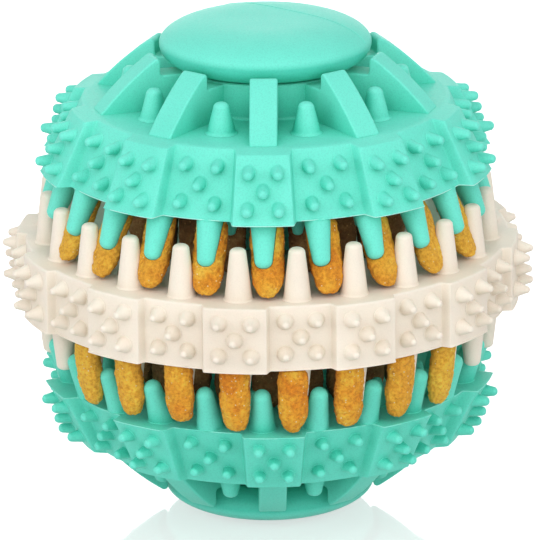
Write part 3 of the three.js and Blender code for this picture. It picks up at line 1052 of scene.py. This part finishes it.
def lower_dents(angle):
    """What the lower and middle rings' teeth press into a lower treat."""
    dents = Shape()
    for tooth in nearby_teeth(angle, LOWER_TURN):
        dents.add(RING_DENT, FLIP @ ring_tooth_place(180 - tooth))
    for tooth in nearby_teeth(angle, TOOTH_PITCH / 2):
        dents.add(MIDDLE_DENT, place(180, TOOTH_CIRCLE, -MIDDLE_FACE, tooth))
    return dents


for n, angle in enumerate(row_angles(UPPER_TREATS, UPPER_TREAT_PITCH)):
    name = f"upper_treat_{n + 1}"
    where = slant(-RING_TOOTH_LEAN, UPPER_TREAT_CIRCLE, GAP_MIDDLE, angle)
    piece = make_treat(name + "_crumb", FIRST_SEED["upper"] + n, UPPER_TREAT_LENGTH, where, upper_dents(angle))
    dress(piece, name, "middle_ring", UPPER_CRUMB)

for n, angle in enumerate(row_angles(LOWER_TREATS, LOWER_TREAT_PITCH, LOWER_TREAT_TURN)):
    name = f"lower_treat_{n + 1}"
    short = LOWER_TREAT_SHORT[n]
    length = LOWER_TREAT_LENGTH - short
    where = place(LOWER_TREAT_LEAN, LOWER_TREAT_CIRCLE, -GAP_MIDDLE, angle) @ Matrix.Translation((0, 0, short / 2))
    seed = FIRST_SEED["lower"] + n
    piece = make_treat(name + "_crumb", seed, length, where, lower_dents(angle), LOWER_TREAT_WIDTH)
    dress(piece, name, "lower_ring", LOWER_CRUMB_BRIGHTENED)

for side, height, body in (("upper", GAP_MIDDLE, "middle_ring"), ("lower", -GAP_MIDDLE, "lower_ring")):
    for n, angle in enumerate(row_angles(INNER_TREATS, INNER_TREAT_PITCH)):
        name = f"{side}_inner_treat_{n + 1}"
        seed = FIRST_SEED[f"{side}_inner"] + n
        where = place(0, INNER_TREAT_CIRCLE, height, angle)
        piece = make_treat(name + "_crumb", seed, INNER_TREAT_LENGTH, where, mesh=INNER_TREAT_MESH)
        dress(piece, name, body, INNER_CRUMB_SHADED)

# Floor, light and camera, in metres
FLOOR_SIZE = 6
FLOOR_GAP = 5e-5  # keeps the floor clear of the lower cap's crown
FLOOR_LIT = {"Base Color": 0.7, "Emission Strength": 0.0}  # as the floor lights the toy
FLOOR_SEEN = {"Base Color": 0.45, "Emission Strength": 0.6}  # as the camera sees it
WORLD_LIT, WORLD_SEEN = 0.55, 1.0
TOY_MIDDLE = (0, 0, 0.04)
LIGHTS = (  # name, place, aim, size, power
    ("key", (-0.02, -0.8, 0.65), TOY_MIDDLE, 1.2, 4.4),
    ("left_fill", (-0.8, -0.6, 0.36), TOY_MIDDLE, 0.7, 2.05),
    ("right_fill", (0.8, -0.6, 0.36), TOY_MIDDLE, 0.7, 1.7),
    ("back_fill", (0, 0.95, 0.08), (0, 0, 0.03), 0.6, 1.6),
)
CAMERA_AIM = Vector((0.00036, 0, MIDDLE - 0.0015))
CAMERA_DISTANCE = 1.04
CAMERA_ELEVATION = math.radians(18.16)
CAMERA_ROLL = math.radians(-0.57)
CAMERA_SENSOR, CAMERA_LENS = 36, 459  # millimetres
CAMERA_SIGHT = 50


def background_rays(nodes, links):
    """1 for rays that show the background, to the camera or by way of gloss or glass, and 0 for others."""
    rays = nodes.new("ShaderNodeLightPath")
    direct = add_math(nodes, links, "MAXIMUM", rays.outputs["Is Camera Ray"], rays.outputs["Is Glossy Ray"])
    return add_math(nodes, links, "MAXIMUM", direct, rays.outputs["Is Transmission Ray"])


def make_floor():
    work = bmesh.new()
    bmesh.ops.create_grid(work, x_segments=1, y_segments=1, size=FLOOR_SIZE)
    mesh = bpy.data.meshes.new("floor")
    work.to_mesh(mesh)
    work.free()
    floor = bpy.data.objects.new("floor", mesh)
    bpy.context.scene.collection.objects.link(floor)
    material, nodes, links, shader = new_material("pale_floor")
    set_inputs(shader, {"Roughness": 0.04, "IOR": 1.6, "Emission Color": (1, 1, 1, 1)})
    seen_share = background_rays(nodes, links)
    for socket, lit in FLOOR_LIT.items():
        tone = nodes.new("ShaderNodeMapRange")
        set_inputs(tone, {"To Min": lit, "To Max": FLOOR_SEEN[socket]})
        links.new(seen_share, tone.inputs["Value"])
        links.new(tone.outputs["Result"], shader.inputs[socket])
    mesh.materials.append(material)
    floor.location.z = -FLOOR_GAP


def add_area(name, place_at, aim, size, power):
    light = bpy.data.lights.new(name, "AREA")
    light.shape = "DISK"
    light.size = size
    light.energy = power
    obj = bpy.data.objects.new(name, light)
    bpy.context.scene.collection.objects.link(obj)
    obj.location = place_at
    obj.rotation_euler = (Vector(aim) - Vector(place_at)).to_track_quat("-Z", "Y").to_euler()


def make_world():
    world = bpy.data.worlds.new("studio")
    bpy.context.scene.world = world
    world.use_nodes = True
    nodes, links = world.node_tree.nodes, world.node_tree.links
    background = nodes["Background"]
    background.inputs["Color"].default_value = (1, 1, 1, 1)
    strength = nodes.new("ShaderNodeMapRange")
    set_inputs(strength, {"To Min": WORLD_LIT, "To Max": WORLD_SEEN})
    links.new(background_rays(nodes, links), strength.inputs["Value"])
    links.new(strength.outputs["Result"], background.inputs["Strength"])


def make_camera():
    data = bpy.data.cameras.new("camera")
    data.sensor_width = CAMERA_SENSOR
    data.lens = CAMERA_LENS
    data.clip_end = CAMERA_SIGHT
    camera = bpy.data.objects.new("camera", data)
    bpy.context.scene.collection.objects.link(camera)
    back = Vector((0, -math.cos(CAMERA_ELEVATION), math.sin(CAMERA_ELEVATION)))
    camera.location = CAMERA_AIM + CAMERA_DISTANCE * back
    aimed = (CAMERA_AIM - camera.location).to_track_quat("-Z", "Y").to_matrix().to_4x4()
    rolled = aimed @ Matrix.Rotation(CAMERA_ROLL, 4, "Z")
    camera.rotation_euler = rolled.to_euler()
    bpy.context.scene.camera = camera


make_floor()
make_world()
for light in LIGHTS:
    add_area(*light)
make_camera()
bpy.context.scene.view_settings.view_transform = "Standard"
